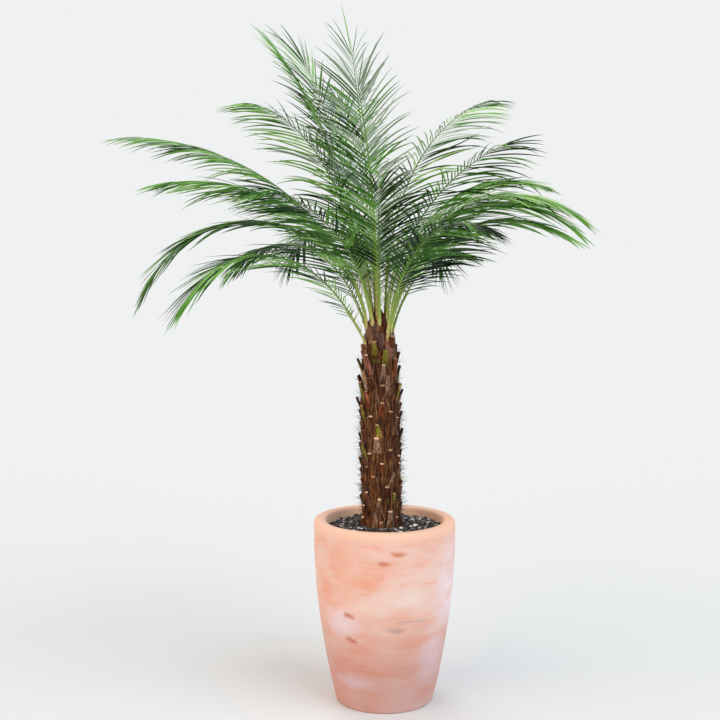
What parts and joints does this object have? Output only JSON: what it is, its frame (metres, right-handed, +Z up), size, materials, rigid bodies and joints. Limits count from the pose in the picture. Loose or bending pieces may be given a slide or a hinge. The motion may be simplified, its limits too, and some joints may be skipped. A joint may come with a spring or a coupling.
{
  "type": "potted pygmy date palm",
  "caption": "Slim-trunked feather palm with arching fronds, growing in a tall round terracotta pot.",
  "frame": {"origin": "centre of the flat underside of the pot", "axes": "+Z up the pot, +X to the right of the palm seen from its front, -Y to its front"},
  "size_m": [0.9985, 0.9217, 1.4535],
  "materials": {
    "terracotta": "matt fired clay with a pale bloom",
    "soil": "dark bark chips and peat",
    "bark": "rough fibrous bark with stubs of old stalks",
    "fibre": "brown fibrous sheaths",
    "frond": "satin green leaf"
  },
  "bodies": {
    "root": {"pot": "terracotta", "soil": "soil", "trunk": "bark", "crown_heart": "fibre", "frond_spear_back": "frond", "frond_spear_front": "frond", "frond_tall_left_back": "frond", "frond_tall_left": "frond", "frond_tall_back_left": "frond", "frond_fan_left_inner": "frond", "frond_fan_left_outer": "frond", "frond_fan_right_inner": "frond", "frond_fan_right_outer": "frond", "frond_mid_right_inner": "frond", "frond_mid_right_outer": "frond", "frond_long_left_inner": "frond", "frond_long_left_outer": "frond", "frond_arch_left_inner": "frond", "frond_arch_left_outer": "frond", "frond_low_left_back_inner": "frond", "frond_low_left_back_outer": "frond", "frond_low_left_inner": "frond", "frond_low_left_outer": "frond", "frond_arch_right_back_inner": "frond", "frond_arch_right_back_outer": "frond", "frond_arch_right_inner": "frond", "frond_arch_right_outer": "frond", "frond_mid_arch_right_inner": "frond", "frond_mid_arch_right_outer": "frond", "frond_long_right_inner": "frond", "frond_long_right_outer": "frond", "frond_low_right_inner": "frond", "frond_low_right_outer": "frond", "frond_low_right_back": "frond", "frond_front_left_inner": "frond", "frond_front_left_outer": "frond", "frond_front": "frond", "frond_back_left_inner": "frond", "frond_back_left_outer": "frond", "frond_back_right_inner": "frond", "frond_back_right_outer": "frond", "frond_low_back_right_inner": "frond", "frond_low_back_right_outer": "frond", "frond_low_back_inner": "frond", "frond_low_back_outer": "frond", "frond_low_back_left_inner": "frond", "frond_low_back_left_outer": "frond"}
  },
  "joints": []
}
